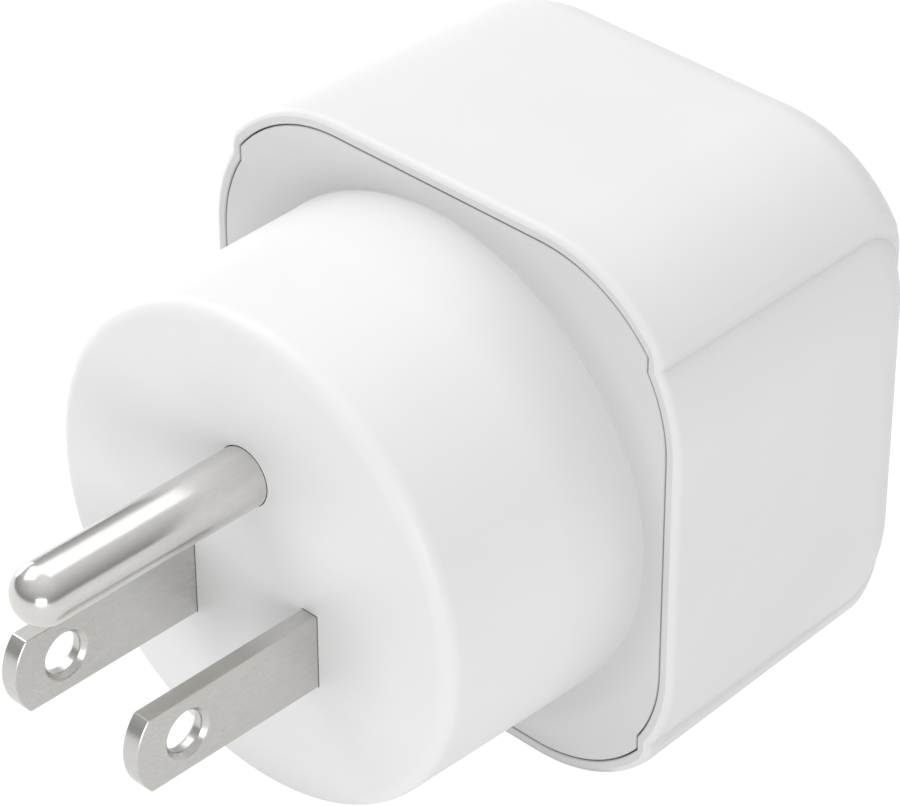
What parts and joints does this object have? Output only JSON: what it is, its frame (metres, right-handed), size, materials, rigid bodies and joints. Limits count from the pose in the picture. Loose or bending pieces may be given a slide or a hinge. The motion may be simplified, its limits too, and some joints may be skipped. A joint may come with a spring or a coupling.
{
  "type": "travel plug adapter",
  "caption": "Earthed travel adapter: flat blades and a round earth pin on a round boss, a rounded-square housing, and a multi-standard socket with a sprung shutter behind.",
  "frame": {"origin": "centre of the round plug face, on the adapter's axis", "axes": "+Y from the plug face towards the rear socket, so the pins point along -Y; +Z towards the earth pin; +X to the right seen from the pins"},
  "size_m": [0.047, 0.0691, 0.0472],
  "materials": {
    "housing_plastic": "satin moulded white",
    "inner_plastic": "plain moulded grey white",
    "shutter_plastic": "smooth low-friction moulded",
    "pin_metal": "satin nickel plate, drawn along the blade",
    "earth_pin_metal": "bright nickel plate",
    "brass": "rolled strip",
    "contact_bronze": "spring temper strip",
    "steel": "zinc plated"
  },
  "bodies": {
    "adapter": {"outer_housing": "housing_plastic", "plug_base": "housing_plastic", "socket_face": "housing_plastic", "live_blade": "pin_metal", "neutral_blade": "pin_metal", "earth_pin": "earth_pin_metal", "pin_retainer": "inner_plastic", "retainer_screws": "steel", "live_strap": "brass", "neutral_strap": "brass", "earth_strap": "brass", "live_contact": "contact_bronze", "neutral_contact": "contact_bronze", "earth_contact": "contact_bronze", "live_blade_rivet": "steel", "neutral_blade_rivet": "steel", "live_contact_rivet": "steel", "neutral_contact_rivet": "steel", "earth_contact_rivet": "steel", "contact_carrier": "inner_plastic", "carrier_screws": "steel", "shutter_cover": "inner_plastic", "cover_screws": "steel", "shutter_spring_left": "steel", "shutter_spring_right": "steel"},
    "shutter": {"shutter": "shutter_plastic"}
  },
  "joints": [
    {"name": "shutter_slide", "type": "slide", "parent": "adapter", "child": "shutter", "axis": [0, 0, -1], "range_m": [0, 0.0075], "stiffness_N_per_m": 60, "springref_m": -0.003, "deforming": ["shutter_spring_left", "shutter_spring_right"]}
  ]
}
